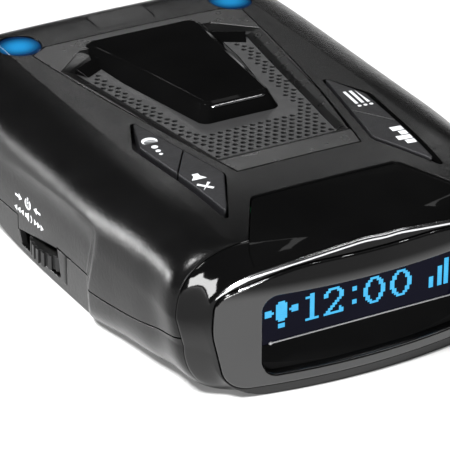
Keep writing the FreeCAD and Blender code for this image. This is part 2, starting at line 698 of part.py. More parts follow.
def wheel_bracket():
    """Inverted channel under the board whose lips carry the sliding plate."""
    solid = box(-34.4, -13.6, WHEEL_Y - 8.2, WHEEL_Y + 8.2, 5.8, BOARD_Z)
    solid = solid.cut(box(-40, -17.2, WHEEL_Y - 6.8, WHEEL_Y + 6.8, 6.5, 11.7))
    solid = solid.cut(box(-40, -10, WHEEL_Y - 5.4, WHEEL_Y + 5.4, 5, 6.6))
    solid = solid.cut(box(-17.6, -12, WHEEL_Y - 9, WHEEL_Y + 9, 5, 11.7))
    return solid


def press_switch():
    body = box(-17.2, -13.8, WHEEL_Y - 3.0, WHEEL_Y + 3.0, 6.8, 11.7)
    return body.fuse(box(-17.5, -17.2, WHEEL_Y - 1.2, WHEEL_Y + 1.2, 7.0, 8.0)).removeSplitter()


# ---------------------------------------------------------------- board and electronics
def main_board():
    plate = prism_z([(31.5, -40.0, 1.0), (31.5, 50.5, 1.0), (-31.5, 50.5, 1.0), (-31.5, -40.0, 1.0)],
                    BOARD_Z, BOARD_TOP)
    cuts = [rod(sign * x, y, 10, 3.7, 10) for x, y in CASE_SCREWS for sign in (-1, 1)]
    cuts += [box(sign * 31.5 - 2.6, sign * 31.5 + 2.6, y - 3.4, y + 3.4, 10, 20)
             for x, y in CASE_SCREWS for sign in (-1, 1)]
    cuts += [rod(sign * x, y, 10, 1.1, 10) for x, y in BOARD_SCREWS for sign in (-1, 1)]
    return cut_all(plate, cuts)


def board_components():
    """Connector, chips and capacitors on the board's top, as separate solids."""
    high = [box(-9, 9, -38.5, -34.5, BOARD_TOP, BOARD_TOP + 2.4),
            box(-8, 4, -30, -18, BOARD_TOP, BOARD_TOP + 1.0),
            box(7, 13, -26, -20, BOARD_TOP, BOARD_TOP + 0.9),
            box(-14, -11, -24, -20, BOARD_TOP, BOARD_TOP + 0.8)]
    cans = [rod(26.0, y, BOARD_TOP, 2.2, 4.8) for y in (35.0, 46.5)]
    return Part.makeCompound(high + cans)


def rf_shield_can():
    shell = box(-8, 20, 30, 45, BOARD_TOP, BOARD_TOP + 2.0)
    return shell.cut(box(-7.7, 19.7, 30.3, 44.7, BOARD_TOP - 1, BOARD_TOP + 1.7))


def gps_antenna():
    return box(-27.6, -12.6, 30, 45, BOARD_TOP, BOARD_TOP + 4.0)


def horn_antenna():
    """Die-cast horn under the board; the flared mouth faces the windshield end."""
    outer = box(-8, 18, 8, 51.6, 2.6, 12.6)
    ends = [rect_wire(2.0, 8.0, 30.0, 5.2, 10.0), rect_wire(-6.6, 16.6, 52.0, 3.8, 11.4)]
    throat = Part.makeLoft(ends, True, True)
    cavity = box(0.0, 10.0, 12.0, 30.0, 4.2, 11.0)
    ribs = [box(-10, 20, y, y + 1.4, 2.6, 12.6) for y in (10.0, 24.0, 38.0)]
    return fuse([outer] + ribs).cut(throat).cut(cavity)


def rect_wire(x0, x1, y, z0, z1):
    return Part.makePolygon([V(x0, y, z0), V(x1, y, z0), V(x1, y, z1), V(x0, y, z1), V(x0, y, z0)])


def laser_window(grow):
    """Trapezoid window of the front laser, in the windshield end."""
    corners = [(-30.0 - grow, 14.9 - grow, 1.0), (-17.0 + grow, 14.9 - grow, 1.0),
               (-18.0 + grow, 21.6 + grow, 1.0), (-29.0 - grow, 21.6 + grow, 1.0)]
    return prism_y(corners, 48.0, 60.0)


def front_laser_lens():
    face = laser_window(0).common(box(-60, 60, REAR_Y - 1.6, REAR_Y - 0.15, 0, 40))
    flange = prism_y([(-30.9, 14.75, 0.5), (-16.0, 14.75, 0.5), (-16.0, 22.4, 0.5), (-30.9, 22.4, 0.5)],
                     REAR_Y - 3.1, REAR_Y - 2.15)
    neck = laser_window(0).common(box(-60, 60, REAR_Y - 2.2, REAR_Y - 1.5, 0, 40))
    return fuse([face, neck, flange])


def front_laser_sensor():
    body = box(-28, -19, 46.6, 50.4, BOARD_TOP, BOARD_TOP + 6.4)
    return body.fuse(rod(-23.5, 50.4, 18.2, 2.0, 0.8, (0, 1, 0)))


def rear_laser_sensor():
    body = box(-4.0, 4.0, -4.5, 3.0, 23.5, top_z(3.0) - 3.22)
    eye = rod(0, -4.9, 24.4, 1.0, 0.5, (0, 1, 0))
    return body.fuse(eye)


# ---------------------------------------------------------------- speaker
def speaker_basket():
    outer = Part.makeCone(9.0, 13.6, 3.4, V(0, SPEAKER_Y, 18.4))
    inner = Part.makeCone(8.0, 12.7, 3.4, V(0, SPEAKER_Y, 18.4))
    flange = ring(0, SPEAKER_Y, 21.8, SPEAKER_RADIUS, 12.7, 0.6)
    plate = ring(0, SPEAKER_Y, 17.8, 9.0, 4.1, 0.6)
    return fuse([outer.cut(inner), flange, plate])


def speaker_cone():
    outer = Part.makeCone(4.2, 12.2, 2.6, V(0, SPEAKER_Y, 19.3))
    inner = Part.makeCone(3.6, 11.6, 2.6, V(0, SPEAKER_Y, 19.6))
    cap = rod(0, SPEAKER_Y, 19.3, 4.2, 0.5)
    coil = ring(0, SPEAKER_Y, 17.2, 3.8, 3.5, 2.2)
    surround = ring(0, SPEAKER_Y, 21.7, 12.4, 11.7, 0.3)
    return fuse([outer.cut(inner), cap, coil, surround])


def speaker_magnet():
    return rod(0, SPEAKER_Y, 15.2, 8.2, 2.6).cut(ring(0, SPEAKER_Y, 16.8, 4.0, 3.3, 5))


def speaker_gasket():
    return ring(0, SPEAKER_Y, 22.4, SPEAKER_RADIUS, 13.2, 0.9)


def speaker_holder():
    """Ring with open sides that stands on the board under the speaker's flange."""
    solid = ring(0, SPEAKER_Y, BOARD_TOP, SPEAKER_RADIUS, 14.2, 21.8 - BOARD_TOP)
    window = box(-20, 20, SPEAKER_Y - 5, SPEAKER_Y + 5, BOARD_TOP + 1.2, 20.6)
    across = box(-5, 5, SPEAKER_Y - 20, SPEAKER_Y + 20, BOARD_TOP + 1.2, 20.6)
    return solid.cut(window).cut(across)


# ---------------------------------------------------------------- power, usb and bracket release
def jack_hole():
    y, z = JACK
    return rod(30, y, z, 3.5, 20, (1, 0, 0))


def power_jack():
    y, z = JACK
    body = box(26.0, 35.6, y - 4.2, y + 4.2, BOARD_TOP, z + 3.6)
    collar = rod(35.6, y, z, 3.35, 1.9, (1, 0, 0))
    return fuse([body, collar]).cut(rod(28.6, y, z, 2.75, 20, (1, 0, 0)))


def power_jack_pin():
    y, z = JACK
    return rod(28.6, y, z, 1.0, 8.0, (1, 0, 0))


def usb_slot():
    return prism_x([(-2.0, 14.3, 0.8), (6.4, 14.3, 0.8), (6.4, 18.6, 0.8), (-2.0, 18.6, 0.8)], 30, 50)


def usb_port():
    corners = [(-1.7, BOARD_TOP, 0.5), (6.1, BOARD_TOP, 0.5), (6.1, 18.3, 0.5), (-1.7, 18.3, 0.5)]
    shell = prism_x(corners, 28.0, 36.6)
    mouth = prism_x([(-1.3, 15.1, 0.4), (5.7, 15.1, 0.4), (5.7, 17.9, 0.4), (-1.3, 17.9, 0.4)], 29.0, 50)
    blade = box(28.5, 35.4, 0.2, 4.2, 16.2, 16.8)
    return fuse([shell.cut(mouth), blade])


def bracket_mouth():
    low, high = SLOT_Z
    return box(-SLOT_HALF, SLOT_HALF, 49.0, 60.0, low, high)


def bracket_guide():
    """Sleeve behind the slot that holds the windshield bracket's tongue."""
    low, high = SLOT_Z
    solid = box(-SLOT_HALF - 1.2, SLOT_HALF + 1.2, 34.0, 52.3, low - 1.2, high + 1.2)
    solid = solid.cut(box(-SLOT_HALF, SLOT_HALF, 35.2, 60.0, low, high))
    return solid.cut(box(-2.6, 2.6, 48.4, 50.6, high - 1, high + 3))


def release_hole():
    return prism_z([(6.3, 43.6, 1.2), (6.3, 50.4, 1.2), (-6.3, 50.4, 1.2), (-6.3, 43.6, 1.2)], 22.6, 36)


def release_button():
    cap = prism_z([(6.1, 43.8, 1.0), (6.1, 50.2, 1.0), (-6.1, 50.2, 1.0), (-6.1, 43.8, 1.0)], 24.0, 27.1)
    collar = prism_z([(7.2, 43.8, 1.0), (7.2, 50.2, 1.0), (-7.2, 50.2, 1.0), (-7.2, 43.8, 1.0)], 23.9, 24.5)
    catch = box(-2.2, 2.2, 48.8, 50.2, SLOT_Z[1] + 0.1, 24.2)
    pip = rod(0, 46.0, 23.75, 0.7, 0.5)
    return fuse([cap, collar, catch, pip])


def release_spring():
    """Two-turn compression spring between the guide and the release button."""
    helix = Part.makeHelix(0.57, 1.14, 1.35)
    profile = Part.Wire([Part.Circle(V(1.35, 0, 0), V(0, 1, 0), 0.16).toShape()])
    coil = Part.Wire(helix.Edges).makePipeShell([profile], True, True)
    coil.translate(V(0, 46.0, 22.57))
    return coil


# ---------------------------------------------------------------- fasteners
def screw(x, y, head_z, length, radius, head_radius):
    """Pan-head screw pointing up or down with a cross recess."""
    up = length > 0
    shank = rod(x, y, head_z, radius, abs(length)) if up else rod(x, y, head_z + length, radius, -length)
    head = rod(x, y, head_z - 1.4, head_radius, 1.4) if up else rod(x, y, head_z, head_radius, 1.2)
    face = head_z - 1.4 if up else head_z + 0.6
    cross = [box(x - 1.2, x + 1.2, y - 0.25, y + 0.25, face, face + 0.6),
             box(x - 0.25, x + 0.25, y - 1.2, y + 1.2, face, face + 0.6)]
    return cut_all(fuse([shank, head]), cross)


def case_screws():
    return Part.makeCompound([screw(sign * x, y, 3.0, 14.0, 1.2, 2.4)
                              for x, y in CASE_SCREWS for sign in (-1, 1)])


def board_screws():
    return Part.makeCompound([screw(sign * x, y, BOARD_TOP, -6.0, 0.85, 1.8)
                              for x, y in BOARD_SCREWS for sign in (-1, 1)])


# ---------------------------------------------------------------- export
NODES = {
    "upper_housing": upper_housing,
    "lower_housing": lower_housing,
    "front_bezel": front_bezel,
    "display_fascia": display_fascia,
    "display_hood": display_hood,
    "display_glass": display_glass,
    "display_module": display_module,
    "display_flex": display_flex,
    "top_panel": top_panel,
    "speaker_grille": speaker_grille,
    "rear_laser_lens": rear_laser_lens,
    "rear_laser_sensor": rear_laser_sensor,
    "periscope_lens_left": lambda: periscope_lens(-1),
    "periscope_lens_right": lambda: periscope_lens(1),
    "left_front_key": lambda: key(True, -1),
    "left_rear_key": lambda: key(False, -1),
    "right_front_key": lambda: key(True, 1),
    "right_rear_key": lambda: key(False, 1),
    "tact_switches": tact_switches,
    "volume_wheel": volume_wheel,
    "wheel_shaft": wheel_shaft,
    "wheel_carrier": wheel_carrier,
    "volume_encoder": volume_encoder,
    "wheel_bracket": wheel_bracket,
    "press_switch": press_switch,
    "main_board": main_board,
    "board_components": board_components,
    "rf_shield_can": rf_shield_can,
    "gps_antenna": gps_antenna,
    "horn_antenna": horn_antenna,
    "front_laser_lens": front_laser_lens,
    "front_laser_sensor": front_laser_sensor,
    "speaker_basket": speaker_basket,
    "speaker_cone": speaker_cone,
    "speaker_magnet": speaker_magnet,
    "speaker_gasket": speaker_gasket,
    "speaker_holder": speaker_holder,
    "power_jack": power_jack,
    "power_jack_pin": power_jack_pin,
    "usb_port": usb_port,
    "bracket_guide": bracket_guide,
    "release_button": release_button,
    "release_spring": release_spring,
    "case_screws": case_screws,
    "board_screws": board_screws,
    "rating_label": rating_label,
}


def main():
    os.makedirs("parts", exist_ok=True)
    for name, make in NODES.items():
        make().exportStep("parts/" + name + ".step")


main()
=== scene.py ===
import json
import math

import bmesh
import bpy
from mathutils import Matrix, Vector
from mathutils.bvhtree import BVHTree


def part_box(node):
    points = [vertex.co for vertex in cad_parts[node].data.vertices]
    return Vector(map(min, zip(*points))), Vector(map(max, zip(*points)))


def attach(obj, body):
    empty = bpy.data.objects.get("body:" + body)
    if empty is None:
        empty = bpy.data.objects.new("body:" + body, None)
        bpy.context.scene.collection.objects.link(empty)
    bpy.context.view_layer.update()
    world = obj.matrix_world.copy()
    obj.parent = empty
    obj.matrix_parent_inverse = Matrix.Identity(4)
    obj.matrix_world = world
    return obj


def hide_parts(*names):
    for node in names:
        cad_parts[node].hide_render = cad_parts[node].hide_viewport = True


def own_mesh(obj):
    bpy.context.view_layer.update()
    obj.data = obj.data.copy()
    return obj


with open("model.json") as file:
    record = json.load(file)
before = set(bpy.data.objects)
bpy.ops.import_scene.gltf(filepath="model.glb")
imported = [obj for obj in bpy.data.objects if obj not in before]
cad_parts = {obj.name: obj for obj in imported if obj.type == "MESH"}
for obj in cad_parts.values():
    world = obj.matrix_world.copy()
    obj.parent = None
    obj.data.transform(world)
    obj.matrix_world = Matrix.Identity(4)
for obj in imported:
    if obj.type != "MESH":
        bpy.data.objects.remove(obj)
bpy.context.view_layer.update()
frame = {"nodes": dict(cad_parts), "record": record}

MM = 0.001
NODES = frame["nodes"]


# ------------------------------------------------------------------ places from the frame
PANEL_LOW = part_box("top_panel")[0]
FASCIA_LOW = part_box("display_fascia")[0]
GLASS_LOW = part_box("display_glass")[0]
WEDGE_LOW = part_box("rear_laser_lens")[0]


def show(thing):
    """Puts an object into the scene."""
    bpy.context.scene.collection.objects.link(thing)


# ------------------------------------------------------------------ material helpers
# Noise scales, in cells per metre
TONE_CELLS = 60.0
GLOSS_CELLS = 340.0
WAVE_CELLS = 140.0
LIT_CELLS = 500.0

# Wider rounding where the side scoops run out into the shoulder: it grows from nothing to full between
# two distances from the middle plane and between two heights, all in metres
SCOOP_ASIDE = (0.0352, 0.0362)
SCOOP_HEIGHT = (0.0140, 0.0165)
SCOOP_RADIUS_MM = 2.2
SHELL_RADIUS_MM = 0.25

# The blue lenses' pale middle, a painted highlight, and deep rim: colours, and where they lie as shares of a
# disc's radius
PAINTED_HIGHLIGHT_BLUE = (0.012, 0.22, 0.5)
DEEP_BLUE = (0.0008, 0.012, 0.05)
HIGHLIGHT_SHARE = 0.35
DEEP_SHARE = 1.02


def grey(value):
    """A very slightly cool grey."""
    return (value, value, value * 1.02)


def shader_of(material):
    """The Principled shader of a material."""
    return material.node_tree.nodes["Principled BSDF"]


def new_material(name, **sockets):
    """A node material; sockets are constants of the shader, such as Roughness=0.4."""
    material = bpy.data.materials.new(name)
    material.use_nodes = True
    for socket, value in sockets.items():
        shader_of(material).inputs[socket.replace("_", " ")].default_value = value
    return material


def node(material, kind, **settings):
    """A new shader node; each setting is one of its attributes or the value of one of its inputs."""
    made = material.node_tree.nodes.new("ShaderNode" + kind)
    for name, value in settings.items():
        if hasattr(made, name):
            setattr(made, name, value)
        else:
            made.inputs[name.replace("_", " ")].default_value = value
    return made


def link(material, source, target):
    """Joins an output to an input."""
    material.node_tree.links.new(source, target)


def place_of(material):
    """The output that gives a point's place on the part, in metres."""
    return node(material, "TexCoord").outputs["Object"]


def axes_of(material):
    """The outputs that give the same place as X, Y and Z."""
    axes = node(material, "SeparateXYZ")
    link(material, place_of(material), axes.inputs["Vector"])
    return axes.outputs


def noise(material, scale, detail=2.0, roughness=0.5):
    """Noise fixed to the part; scale is in cells per metre."""
    texture = node(material, "TexNoise", Scale=scale, Detail=detail, Roughness=roughness)
    link(material, place_of(material), texture.inputs["Vector"])
    return texture.outputs["Fac"]


def ramp(material, source, low, high, start=0.3, stop=0.7):
    """Colours between two ends, driven by a value."""
    mix = node(material, "ValToRGB")
    mix.color_ramp.elements[0].position = start
    mix.color_ramp.elements[1].position = stop
    mix.color_ramp.elements[0].color = (*low, 1.0)
    mix.color_ramp.elements[1].color = (*high, 1.0)
    link(material, source, mix.inputs["Fac"])
    return mix.outputs["Color"]


def spread(material, source, low, high, start=0.3, stop=0.7):
    """A value between two ends, driven by another value."""
    span = node(material, "MapRange", interpolation_type="SMOOTHSTEP")
    for name, value in (("From Min", start), ("From Max", stop), ("To Min", low), ("To Max", high)):
        span.inputs[name].default_value = value
    link(material, source, span.inputs["Value"])
    return span.outputs["Result"]


def moulded(name, low, high, rough, grain=2600.0, depth_mm=0.03, edge_mm=0.15, **sockets):
    """Moulded plastic or rubber: mottled tone, uneven gloss, a fine grain and softened edges.

    low and high are the two ends of the colour and rough those of the roughness. grain is the grain's
    scale in cells per metre, depth_mm its depth, edge_mm the radius of the softened edges.
    """
    material = new_material(name, **sockets)
    shader = shader_of(material)
    tone = ramp(material, noise(material, TONE_CELLS), low, high)
    link(material, tone, shader.inputs["Base Color"])
    gloss = spread(material, noise(material, GLOSS_CELLS, detail=3.0), rough[0], rough[1])
    link(material, gloss, shader.inputs["Roughness"])
    edges = node(material, "Bevel", samples=6, Radius=edge_mm * MM)
    surface = node(material, "Bump", Strength=1.0, Distance=depth_mm * MM)
    link(material, noise(material, grain, detail=4.0, roughness=0.65), surface.inputs["Height"])
    link(material, edges.outputs["Normal"], surface.inputs["Normal"])
    link(material, surface.outputs["Normal"], shader.inputs["Normal"])
    return material


def glossy(name, low, high, rough=(0.045, 0.055), depth_mm=0.0015, **sockets):
    """Polished plastic: a trace of waviness and an even, high gloss."""
    return moulded(name, low, high, rough, grain=WAVE_CELLS, depth_mm=depth_mm, **sockets)


def metal(name, low, high, rough, grain=1500.0, depth_mm=0.004):
    """Bare or plated metal with a faint grain."""
    return moulded(name, low, high, rough, grain=grain, depth_mm=depth_mm, Metallic=1.0)


def glowing(name, low, high, strength):
    """Lit display segment, a little uneven across the panel."""
    material = moulded(name, grey(0.004), grey(0.006), (0.3, 0.4), grain=900.0, depth_mm=0.002,
                       Emission_Strength=strength)
    lit = ramp(material, noise(material, LIT_CELLS), low, high)
    link(material, lit, shader_of(material).inputs["Emission Color"])
    return material


def soften_scoop(material):
    """Wider rounding where the hollowed side panels run out into the shoulder."""
    axes = axes_of(material)
    aside = node(material, "Math", operation="ABSOLUTE")
    link(material, axes["X"], aside.inputs[0])
    outer = spread(material, aside.outputs["Value"], 0.0, 1.0, *SCOOP_ASIDE)
    upper = spread(material, axes["Z"], 0.0, SCOOP_RADIUS_MM * MM, *SCOOP_HEIGHT)
    radius = node(material, "Math", operation="MULTIPLY_ADD")
    link(material, outer, radius.inputs[0])
    link(material, upper, radius.inputs[1])
    radius.inputs[2].default_value = SHELL_RADIUS_MM * MM
    bevel = [n for n in material.node_tree.nodes if n.type == "BEVEL"][0]
    link(material, radius.outputs["Value"], bevel.inputs["Radius"])


def paint_reflection_by_height(material, low_mm, high_mm, strong, weak):
    """Painted reflection and shade: specular level that falls from strong to weak between two heights.

    High walls get painted shade, standing in for the dark surroundings they mirror; low ones get painted
    reflection, standing in for the bright table.
    """
    level = spread(material, axes_of(material)["Z"], strong, weak, low_mm * MM, high_mm * MM)
    link(material, level, shader_of(material).inputs["Specular IOR Level"])


# ------------------------------------------------------------------ materials
def shell_black():
    """Satin housing, with painted reflection that is strong low down and painted shade high up."""
    material = moulded("satin_black_shell", grey(0.003), grey(0.004), (0.22, 0.27), grain=1600.0,
                       depth_mm=0.045)
    soften_scoop(material)
    paint_reflection_by_height(material, low_mm=2.0, high_mm=17.0, strong=0.5, weak=0.16)
    return material


def cap_gloss():
    """Polished display cap, with painted reflection that is strong low down and painted shade high up."""
    material = glossy("piano_black_cap", grey(0.002), grey(0.003), edge_mm=0.3)
    paint_reflection_by_height(material, low_mm=11.5, high_mm=17.5, strong=0.5, weak=0.16)
    return material


def fascia_gloss():
    """Polished frame of the display window, with painted reflection that makes it brighter low down than the
    cap and dark at the top.
    """
    material = glossy("piano_black_fascia", grey(0.002), grey(0.003), rough=(0.06, 0.1), edge_mm=0.3)
    paint_reflection_by_height(material, low_mm=19.5, high_mm=22.2, strong=1.0, weak=0.12)
    return material


def blue_lens():
    """Clear blue lens with a painted highlight: pale in the middle of each disc, deep at the rim. The two
    discs mirror each other.
    """
    low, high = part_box("periscope_lens_left")
    middle = (low + high) / 2
    radius = (high.x - low.x) / 2
    material = glossy("periscope_blue", PAINTED_HIGHLIGHT_BLUE, DEEP_BLUE)
    mirrored = node(material, "VectorMath", operation="ABSOLUTE")
    link(material, place_of(material), mirrored.inputs[0])
    away = node(material, "VectorMath", operation="DISTANCE")
    away.inputs[1].default_value = (abs(middle.x), abs(middle.y), abs(middle.z))
    link(material, mirrored.outputs["Vector"], away.inputs[0])
    outward = spread(material, away.outputs["Value"], 0.0, 1.0, HIGHLIGHT_SHARE * radius, DEEP_SHARE * radius)
    colour = ramp(material, outward, PAINTED_HIGHLIGHT_BLUE, DEEP_BLUE, start=0.0, stop=1.0)
    link(material, colour, shader_of(material).inputs["Base Color"])
    return material


def make_materials():
    """One material for each material slot of the record."""
    return {
        # seen in the photo
        "shell_black": shell_black(),
        "panel_black": moulded("satin_black_panel", grey(0.003), grey(0.004), (0.27, 0.3), depth_mm=0.01,
                               edge_mm=0.1),
        "cap_gloss": cap_gloss(),
        "lens_gloss": glossy("infrared_lens", grey(0.002), grey(0.003), depth_mm=0.0004,
                             Specular_IOR_Level=0.06),
        "grille_grey": moulded("grille_satin", grey(0.03), grey(0.04), (0.38, 0.46), grain=2400.0,
                               depth_mm=0.02),
        "hood_black": moulded("hood_matte", grey(0.003), grey(0.004), (0.6, 0.7), grain=2000.0,
                              depth_mm=0.01, Specular_IOR_Level=0.05),
        "display_glass": glossy("display_cover", (0.002, 0.002, 0.006), (0.003, 0.003, 0.008),
                                Specular_IOR_Level=0.04),
        "display_panel": glossy("display_back", (0.01, 0.012, 0.02), (0.012, 0.014, 0.024)),
        "flex_amber": glossy("ribbon_amber", (0.42, 0.2, 0.04), (0.5, 0.25, 0.05), rough=(0.3, 0.4)),
        "blue_lens": blue_lens(),
        "key_rubber": moulded("key_rubber", (0.008, 0.008, 0.009), (0.015, 0.015, 0.017), (0.42, 0.5),
                              grain=1500.0, depth_mm=0.1, edge_mm=0.4),
        "wheel_rubber": moulded("wheel_rubber", grey(0.004), grey(0.006), (0.4, 0.5), grain=1800.0),
        # metal parts inside
        "switch_steel": metal("switch_steel", grey(0.5), grey(0.62), (0.25, 0.4)),
        "shaft_steel": metal("shaft_steel", grey(0.5), grey(0.62), (0.2, 0.3)),
        "can_steel": metal("tinned_steel", grey(0.5), grey(0.66), (0.25, 0.4)),
        "magnet_steel": metal("magnet_plate", grey(0.4), grey(0.5), (0.25, 0.4)),
        "spring_steel": metal("spring_wire", grey(0.5), grey(0.62), (0.2, 0.35)),
        "horn_zinc": metal("cast_zinc", grey(0.42), grey(0.52), (0.42, 0.58), grain=900.0, depth_mm=0.03),
        "pin_brass": metal("plated_brass", (0.72, 0.55, 0.25), (0.82, 0.64, 0.32), (0.2, 0.3)),
        # plastic, ceramic, paper and coated parts inside and underneath
        "pom_white": moulded("acetal_white", (0.66, 0.66, 0.62), (0.72, 0.72, 0.68), (0.35, 0.45)),
        "nylon_black": moulded("nylon_black", grey(0.02), grey(0.026), (0.45, 0.55)),
        "board_green": moulded("solder_mask", (0.01, 0.1, 0.035), (0.015, 0.13, 0.05), (0.25, 0.35),
                               grain=1200.0, depth_mm=0.01),
        "chip_black": moulded("chip_epoxy", grey(0.02), grey(0.03), (0.5, 0.6)),
        "ceramic_beige": moulded("antenna_ceramic", (0.6, 0.54, 0.4), (0.66, 0.6, 0.46), (0.4, 0.5)),
        "basket_steel": moulded("basket_enamel", grey(0.02), grey(0.03), (0.3, 0.4)),
        "cone_paper": moulded("cone_pulp", (0.04, 0.037, 0.033), (0.06, 0.055, 0.05), (0.7, 0.8),
                              grain=1500.0, depth_mm=0.08),
        "foam_black": moulded("gasket_foam", grey(0.015), grey(0.03), (0.8, 0.9), grain=900.0,
                              depth_mm=0.15),
        "jack_black": moulded("jack_plastic", grey(0.012), grey(0.018), (0.2, 0.3)),
        "screw_black": moulded("black_zinc", grey(0.03), grey(0.045), (0.3, 0.4), grain=1800.0,
                               depth_mm=0.01, Metallic=0.8),
        "label_silver": moulded("label_foil", grey(0.4), grey(0.46), (0.35, 0.45), grain=1600.0,
                                depth_mm=0.01),
    }


def dress(materials):
    """Gives every CAD node the material of its slot in the record, and the fascia its own gloss with painted
    reflection low down.
    """
    for entry in frame["record"]["subparts"]:
        mesh = NODES[entry["node"]].data
        mesh.materials.clear()
        mesh.materials.append(materials[entry["material_slot"]])
    NODES["display_fascia"].data.materials[0] = fascia_gloss()


# ------------------------------------------------------------------ outlines of printed marks
def round_point(x, y, radius, degrees):
    """Point on a circle."""
    return (x + radius * math.cos(math.radians(degrees)), y + radius * math.sin(math.radians(degrees)))


def disc(x, y, radius, count=20):
    """Filled circle."""
    return [(x + radius * math.cos(2 * math.pi * i / count), y + radius * math.sin(2 * math.pi * i / count))
            for i in range(count)]


def bar(x0, y0, x1, y1, width):
    """Straight stroke."""
    along = Vector((x1 - x0, y1 - y0)).normalized() * width / 2
    side = Vector((-along.y, along.x))
    return [(x0 - side.x, y0 - side.y), (x1 - side.x, y1 - side.y),
            (x1 + side.x, y1 + side.y), (x0 + side.x, y0 + side.y)]


def block(x0, y0, x1, y1):
    """Upright rectangle between two corners."""
    return [(x0, y0), (x1, y0), (x1, y1), (x0, y1)]


def arc(x, y, inner, outer, start, stop, count=14):
    """Curved stroke between two angles in degrees."""
    angles = [math.radians(start + (stop - start) * i / count) for i in range(count + 1)]
    ring = [(x + outer * math.cos(a), y + outer * math.sin(a)) for a in angles]
    return ring + [(x + inner * math.cos(a), y + inner * math.sin(a)) for a in reversed(angles)]


def crescent(x, y, radius):
    """Moon shape, open to the right."""
    outer = [round_point(x, y, radius, degrees) for degrees in range(50, 311, 13)]
    inner = [round_point(x + 0.42 * radius, y, 0.8 * radius, degrees) for degrees in range(285, 74, -13)]
    return outer + inner


def speaker(x, y, size):
    """Loudspeaker pictogram."""
    return [(x - size, y - 0.42 * size), (x - 0.35 * size, y - 0.42 * size), (x + 0.5 * size, y - size),
            (x + 0.5 * size, y + size), (x - 0.35 * size, y + 0.42 * size), (x - size, y + 0.42 * size)]


def arrow(x, y, size):
    """Small filled triangle; a negative size points it the other way."""
    return [(x - size / 2, y - abs(size) * 0.6), (x + size / 2, y), (x - size / 2, y + abs(size) * 0.6)]


LIST_ROWS = (-0.8, 0.0, 0.8)
ARROW_PITCH = 1.15

DIM_MARK = [crescent(-1.5, 0, 1.0), disc(0.2, 0, 0.42), disc(1.35, 0, 0.33), disc(2.3, 0, 0.24)]
MUTE_MARK = [speaker(-1.5, 0, 0.95), bar(0.1, -0.75, 1.6, 0.75, 0.4), bar(0.1, 0.75, 1.6, -0.75, 0.4)]
LIST_MARK = [block(-1.5, y - 0.2, 2.3, y + 0.2) for y in LIST_ROWS]
LIST_MARK += [disc(-2.2, y, 0.26) for y in LIST_ROWS]
TOWN_MARK = [block(-2.4, -0.95, -1.5, 0.3), block(-1.3, -0.95, -0.3, 0.95), block(-0.1, -0.95, 0.9, 0.05),
             block(1.1, -0.95, 2.2, 0.6)]
POWER_MARK = [arc(0, 0, 0.72, 1.05, 125, 415), bar(0, 0.1, 0, 1.25, 0.34),
              arrow(-2.6, 0, 1.1), bar(-4.4, 0, -3.0, 0, 0.4),
              arrow(2.6, 0, -1.1), bar(3.0, 0, 4.4, 0, 0.4)]
VOLUME_MARK = [speaker(-0.2, 0, 0.85), arc(0.35, 0, 0.75, 1.0, -50, 50)]
VOLUME_MARK += [arrow(-2.1 - ARROW_PITCH * i, 0, -0.95) for i in range(3)]
VOLUME_MARK += [arrow(2.6 + ARROW_PITCH * i, 0, 0.95) for i in range(3)]

# ------------------------------------------------------------------ printed marks
MARK_RISE = 0.03 * MM            # how far the print stands out of the surface, and sinks into it
RAY_CLEARANCE = 0.02             # metres between a ray's start and the mark's origin
KEY_MARK_SCALE = 1.5
KEY_MARK_HEIGHT = 0.03           # metres, just above the keys
KEY_MARK_SLANT = 0.08            # turns the marks with the slanted key bays
SIDE_MARK_SCALE = 1.1
SIDE_MARK_PLACE = (-0.040, 0.0097)    # metres, beside the left wall and over the wheel

# Key, its mark, and the mark's middle across and along the part, in mm
KEY_MARKS = [
    ("left_rear_key", DIM_MARK, -21.1, -10.6),
    ("left_front_key", MUTE_MARK, -20.2, -28.0),
    ("right_rear_key", LIST_MARK, 21.1, -10.6),
    ("right_front_key", TOWN_MARK, 20.2, -28.0),
]

# Mark, its outlines, and the height of its middle in mm
SIDE_MARKS = [
    ("power_mark", POWER_MARK, 12.2),
    ("volume_mark", VOLUME_MARK, 9.5),
]


def surface_of(name):
    """Ray target for one CAD node."""
    mesh = NODES[name].data
    return BVHTree.FromPolygons([v.co for v in mesh.vertices], [p.vertices[:] for p in mesh.polygons])


def piece_from(built, name, material):
    """Turns a bmesh into an object of the scene with one material."""
    mesh = bpy.data.meshes.new(name)
    built.to_mesh(mesh)
    built.free()
    mesh.materials.append(material)
    piece = bpy.data.objects.new(name, mesh)
    show(piece)
    return piece


def plate(name, outlines, low, high, material, body):
    """Thin plates; low and high turn an outline point into its bottom and top place."""
    built = bmesh.new()
    for outline in outlines:
        top = [built.verts.new(high(x, y)) for x, y in outline]
        foot = [built.verts.new(low(x, y)) for x, y in outline]
        built.faces.new(top)
        built.faces.new(list(reversed(foot)))
        for i in range(len(top)):
            j = (i + 1) % len(top)
            built.faces.new([top[j], top[i], foot[i], foot[j]])
    bmesh.ops.triangulate(built, faces=[f for f in built.faces if len(f.verts) > 4])
    bmesh.ops.recalc_face_normals(built, faces=built.faces)
    piece = piece_from(built, name, material)
    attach(piece, body)


def mark(name, outlines, scale, target, body, origin, across, up, inward, material):
    """White print laid on a CAD node; outlines are in mm about the origin."""
    tree = surface_of(target)

    def on_surface(x, y, rise):
        """Where an outline point meets the node, moved out of its surface by rise."""
        start = origin + (across * x + up * y) * (scale * MM) - inward * RAY_CLEARANCE
        place = tree.ray_cast(start, inward)[0]
        return place - inward * rise

    plate(name, outlines, lambda x, y: on_surface(x, y, -MARK_RISE),
          lambda x, y: on_surface(x, y, MARK_RISE), material, body)


